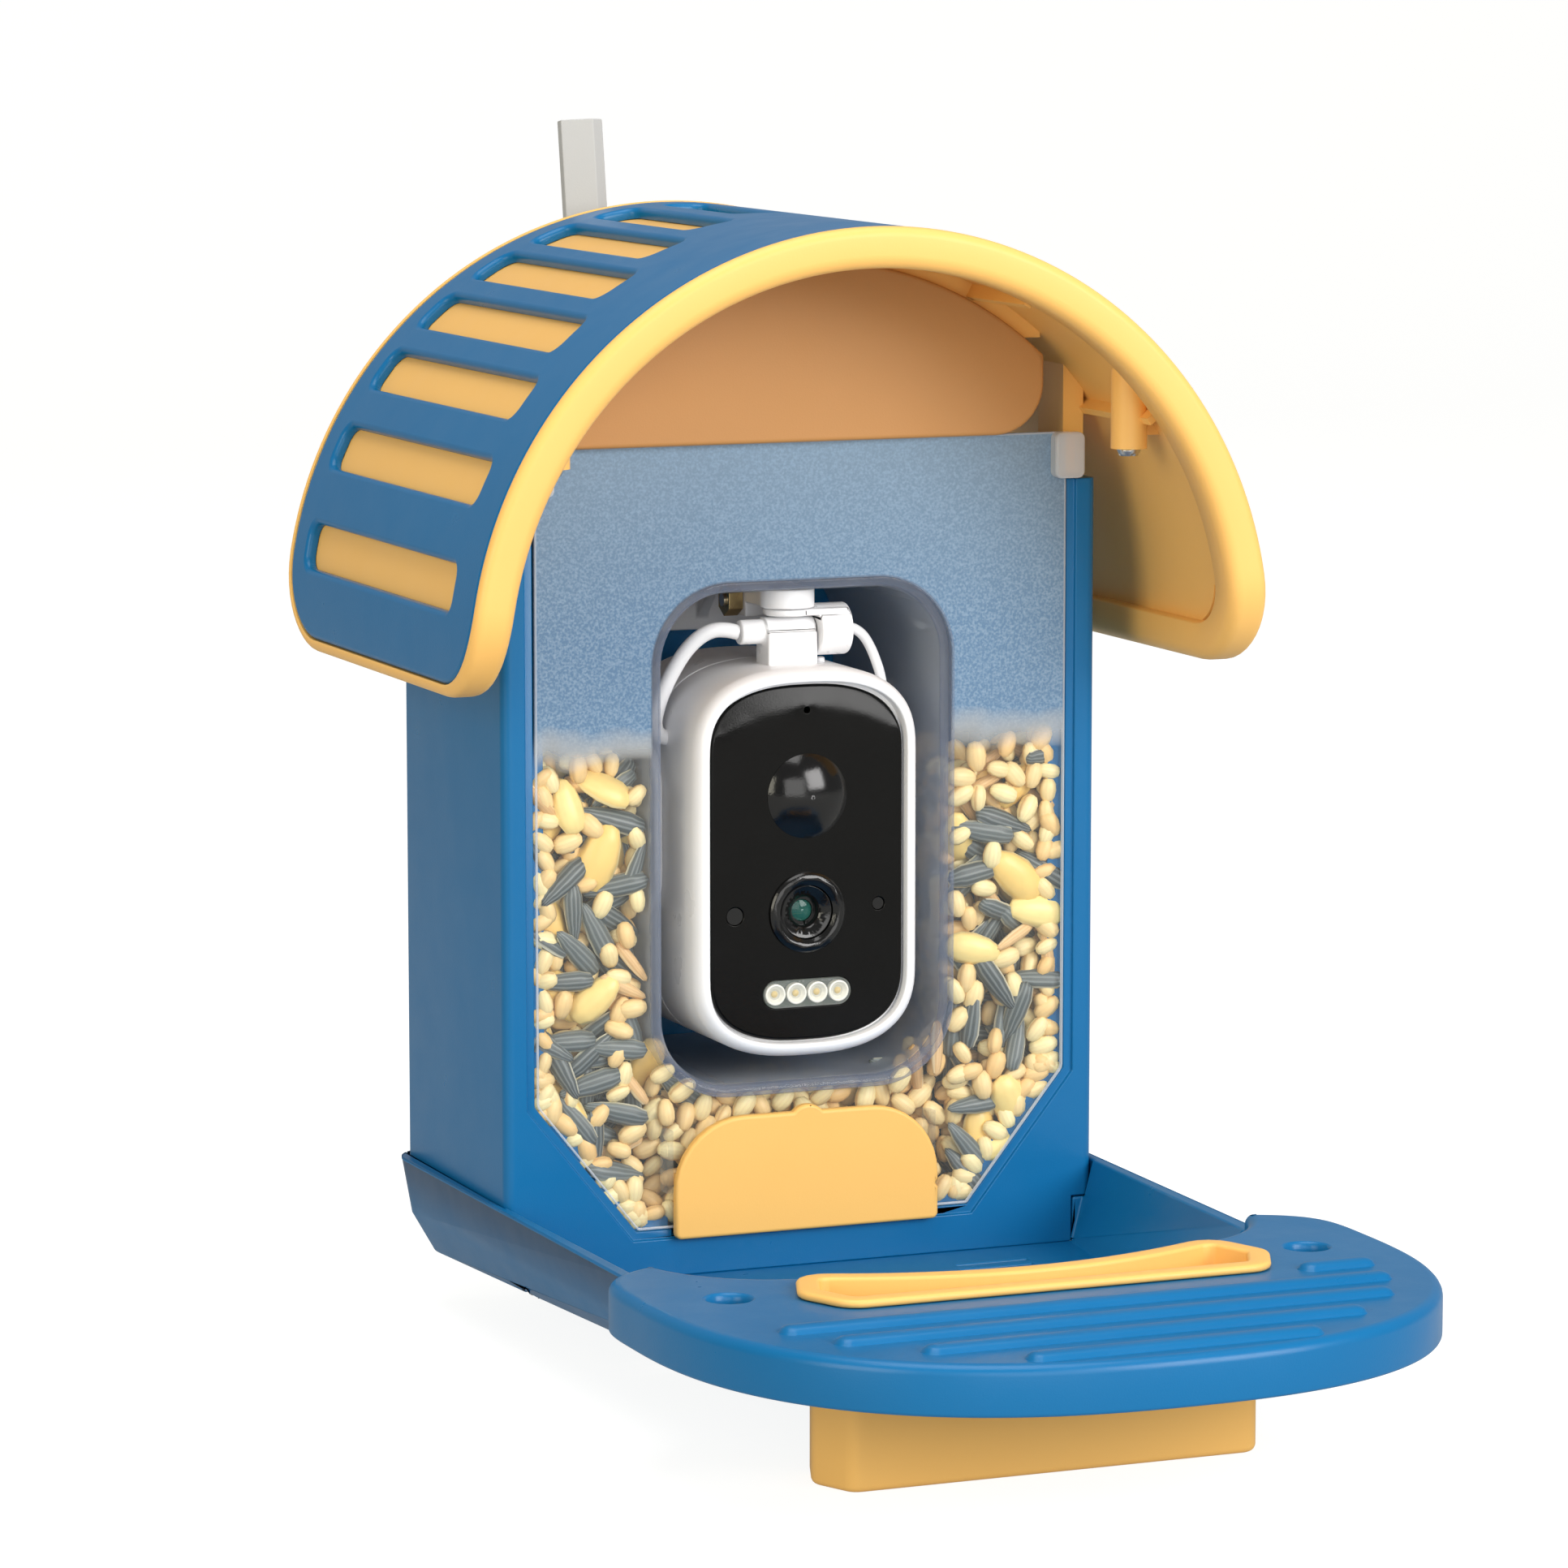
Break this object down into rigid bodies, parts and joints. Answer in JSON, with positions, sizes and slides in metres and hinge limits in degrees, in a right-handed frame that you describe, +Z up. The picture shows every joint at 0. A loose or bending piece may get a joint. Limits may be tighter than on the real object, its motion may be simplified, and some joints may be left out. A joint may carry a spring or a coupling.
{
  "type": "smart bird feeder",
  "caption": "Window bird feeder with a camera in a clear bay, arched hinged roof, seed gate, tray, wide perch and lift-out feed cup.",
  "frame": {"origin": "centre of the four screw holes on the outer face of the hopper's back wall", "axes": "+X to the right seen from the front, +Y out of the back wall, +Z up"},
  "size_m": [0.195, 0.3274, 0.2811],
  "materials": {
    "body_blue": "satin moulded plastic",
    "window_clear": "clear plastic, frosted above the seed",
    "sand_yellow": "satin moulded plastic",
    "screw_steel": "zinc-plated",
    "gable_tan": "satin moulded plastic",
    "camera_white": "satin moulded plastic",
    "nut_brass": "plated",
    "seal_rubber": "matt",
    "face_black": "polished",
    "sensor_dark": "smoked plastic",
    "lens_glass": "coated",
    "lamp_clear": "clear plastic",
    "lamp_chip": "phosphor and chip",
    "board_green": "solder resist",
    "cell_blue": "shrink sleeve",
    "lead_white": "smooth sheath"
  },
  "bodies": {
    "feeder": {"hopper_body": "body_blue", "seed_chute": "body_blue", "clear_window": "window_clear", "base_tray": "body_blue", "tray_screws": "screw_steel", "perch_plate": "body_blue", "perch_screws": "screw_steel", "hinge_pin": "screw_steel", "bracket_arm": "camera_white", "bracket_screws": "screw_steel", "clamp_bolt": "screw_steel", "clamp_nut": "nut_brass", "antenna_base": "camera_white"},
    "roof": {"roof_shell": "sand_yellow", "roof_cover": "body_blue", "gable_panel": "gable_tan", "roof_screws": "screw_steel", "gable_screws": "screw_steel"},
    "gate": {"feed_gate": "sand_yellow"},
    "cup": {"feed_cup": "sand_yellow"},
    "knuckle": {"pan_knuckle": "camera_white", "pan_clip": "screw_steel", "tilt_bolt": "screw_steel"},
    "camera": {"camera_stem": "camera_white", "camera_front": "camera_white", "camera_seal": "seal_rubber", "camera_rear": "camera_white", "camera_screws": "screw_steel", "face_panel": "face_black", "motion_dome": "sensor_dark", "lens_ring": "face_black", "lens_barrel": "sensor_dark", "lens_glass": "lens_glass", "lamp_window": "lamp_clear", "lamp_chips": "lamp_chip", "light_sensor": "sensor_dark", "status_light": "sensor_dark", "side_pad": "camera_white", "circuit_board": "board_green", "battery_cells": "cell_blue", "thick_lead": "lead_white", "thin_lead": "lead_white"},
    "antenna_foot": {"antenna_elbow": "camera_white", "antenna_pin": "screw_steel"},
    "antenna": {"antenna_blade": "camera_white"}
  },
  "joints": [
    {"name": "roof_hinge", "type": "hinge", "parent": "feeder", "child": "roof", "pos_m": [0, 0.002, 0.128], "axis": [-1, 0, 0], "range_deg": [0, 80]},
    {"name": "gate_slide", "type": "slide", "parent": "feeder", "child": "gate", "axis": [0, 0, 1], "range_m": [0, 0.009]},
    {"name": "cup_lift", "type": "slide", "parent": "feeder", "child": "cup", "axis": [0, 0, 1], "range_m": [0, 0.05]},
    {"name": "camera_pan", "type": "hinge", "parent": "feeder", "child": "knuckle", "pos_m": [0, -0.059, 0.06], "axis": [0, 0, 1], "range_deg": [-8, 8]},
    {"name": "camera_tilt", "type": "hinge", "parent": "knuckle", "child": "camera", "pos_m": [0, -0.059, 0.05255], "axis": [1, 0, 0], "range_deg": [-8, 8]},
    {"name": "antenna_swivel", "type": "hinge", "parent": "feeder", "child": "antenna_foot", "pos_m": [-0.012, 0.028, 0.054], "axis": [0, 1, 0], "range_deg": [-90, 90]},
    {"name": "antenna_fold", "type": "hinge", "parent": "antenna_foot", "child": "antenna", "pos_m": [-0.012, 0.028, 0.054], "axis": [-1, 0, 0], "range_deg": [0, 80]}
  ]
}
